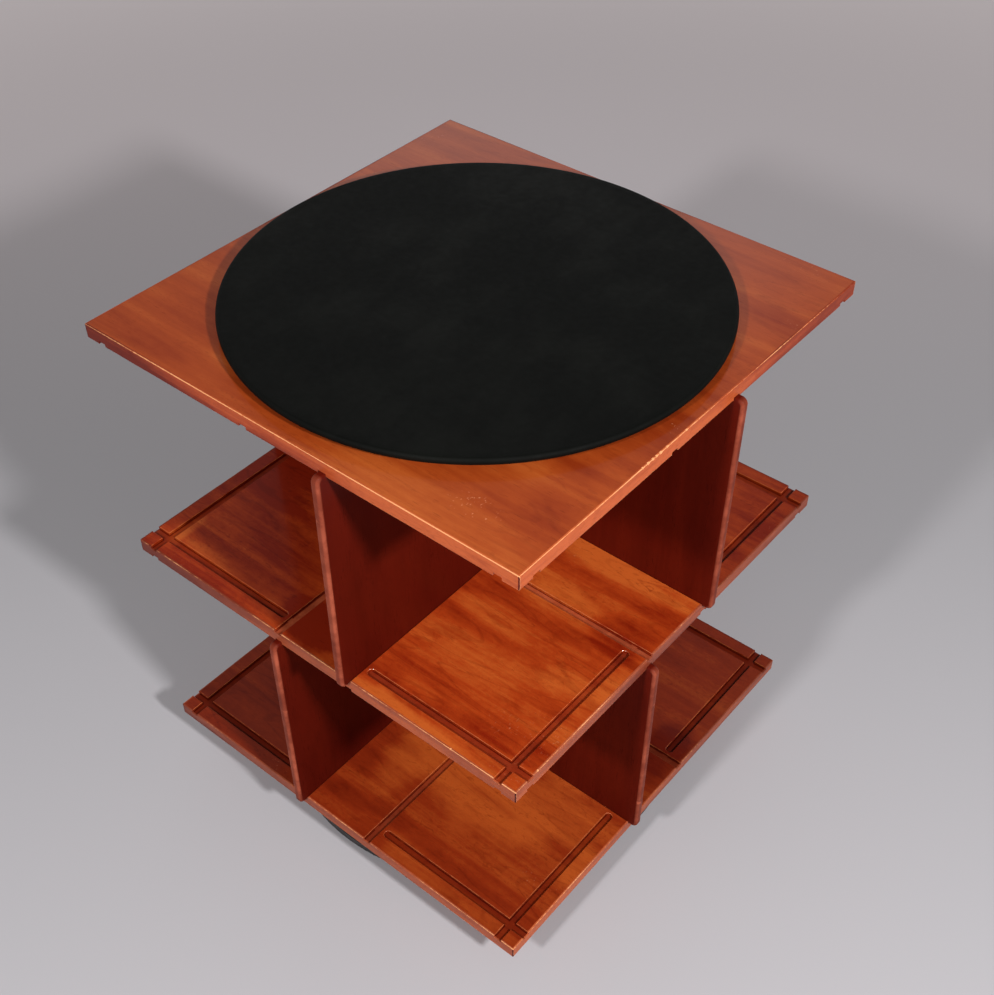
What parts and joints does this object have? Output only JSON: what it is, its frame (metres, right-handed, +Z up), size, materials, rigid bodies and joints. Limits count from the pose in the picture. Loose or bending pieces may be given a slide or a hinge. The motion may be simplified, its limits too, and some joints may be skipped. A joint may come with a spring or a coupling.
{
  "type": "revolving desktop bookcase",
  "caption": "Open two-tier bookcase with square shelves and pinwheel dividers that turns on a round base, under a round turntable top.",
  "frame": {"origin": "on the floor, on the vertical axis that the case turns about", "axes": "+Z up along the turning axis, X and Y parallel to the sides of the square slabs"},
  "size_m": [0.625, 0.625, 0.735],
  "materials": {
    "slab_veneer": "satin varnished veneer",
    "lipping_wood": "satin varnish",
    "divider_wood": "satin varnished veneer",
    "pedestal_wood": "black paint",
    "board_core": "bare board",
    "black_lacquer": "satin black lacquer",
    "black_leather": "matt, fine grain",
    "felt": "pressed felt",
    "ring_aluminium": "extruded and turned",
    "ball_steel": "polished bearing steel",
    "zinc_steel": "zinc plated",
    "cage_nylon": "natural nylon"
  },
  "bodies": {
    "base": {"base_glides": "felt", "base_disc": "black_lacquer", "base_swivel_inner_ring": "ring_aluminium", "base_swivel_inner_ring_screws": "zinc_steel"},
    "base_balls": {"base_swivel_balls": "ball_steel", "base_swivel_ball_cage": "cage_nylon"},
    "case": {"base_swivel_outer_ring": "ring_aluminium", "base_swivel_outer_ring_screws": "zinc_steel", "pedestal": "pedestal_wood", "pedestal_screws": "zinc_steel", "bottom_slab": "slab_veneer", "middle_slab": "slab_veneer", "top_slab": "slab_veneer", "bottom_slab_lippings": "lipping_wood", "middle_slab_lippings": "lipping_wood", "top_slab_lippings": "lipping_wood", "lower_divider_front": "divider_wood", "lower_divider_right": "divider_wood", "lower_divider_back": "divider_wood", "lower_divider_left": "divider_wood", "upper_divider_front": "divider_wood", "upper_divider_right": "divider_wood", "upper_divider_back": "divider_wood", "upper_divider_left": "divider_wood", "tie_rod": "zinc_steel", "tie_rod_nuts": "zinc_steel", "tie_rod_washers": "zinc_steel", "top_swivel_inner_ring": "ring_aluminium", "top_swivel_inner_ring_screws": "zinc_steel"},
    "top_balls": {"top_swivel_balls": "ball_steel", "top_swivel_ball_cage": "cage_nylon"},
    "top_disc": {"top_swivel_outer_ring": "ring_aluminium", "top_swivel_outer_ring_screws": "zinc_steel", "top_disc_board": "board_core", "top_disc_skin": "black_leather"}
  },
  "joints": [
    {"name": "case_turn", "type": "hinge", "parent": "base", "child": "case", "pos_m": [0, 0, 0.023], "axis": [0, 0, 1], "continuous": true},
    {"name": "base_balls_turn", "type": "hinge", "parent": "base", "child": "base_balls", "pos_m": [0, 0, 0.023], "axis": [0, 0, 1], "continuous": true},
    {"name": "top_disc_turn", "type": "hinge", "parent": "case", "child": "top_disc", "pos_m": [0, 0, 0.724], "axis": [0, 0, 1], "continuous": true},
    {"name": "top_balls_turn", "type": "hinge", "parent": "case", "child": "top_balls", "pos_m": [0, 0, 0.724], "axis": [0, 0, 1], "continuous": true}
  ],
  "couplings": [
    {"joint": "base_balls_turn", "follows": "case_turn", "ratio": 0.5},
    {"joint": "top_balls_turn", "follows": "top_disc_turn", "ratio": 0.5}
  ]
}
